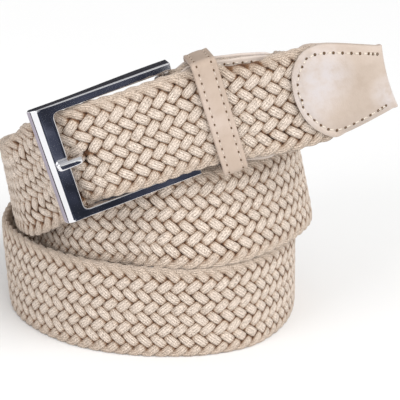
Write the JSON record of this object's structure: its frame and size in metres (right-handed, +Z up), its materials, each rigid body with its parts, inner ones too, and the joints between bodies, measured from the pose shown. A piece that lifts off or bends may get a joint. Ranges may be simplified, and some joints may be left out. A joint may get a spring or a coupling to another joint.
{
  "type": "stretch belt",
  "caption": "Flat braided elastic belt rolled into an upright coil, with its metal pin buckle closed, a leather keeper loop, a leather buckle tab and a leather tip.",
  "frame": {"origin": "bottom centre of the whole rolled belt's bounding box", "axes": "+Z up from the surface the belt stands on, -Y towards the viewer and the buckle's front, +X to the viewer's right, where the tip points"},
  "size_m": [0.1508, 0.1338, 0.1171],
  "materials": {
    "braid": "braided elastic yarn, sand beige, matt",
    "leather": "smooth pale beige leather, soft gloss",
    "chrome": "polished"
  },
  "bodies": {
    "root": {"woven_band": "braid", "buckle_tab": "leather", "keeper_loop": "leather", "tip_leather": "leather", "buckle_frame": "chrome", "heel_bar": "chrome", "prong": "chrome"}
  },
  "joints": []
}
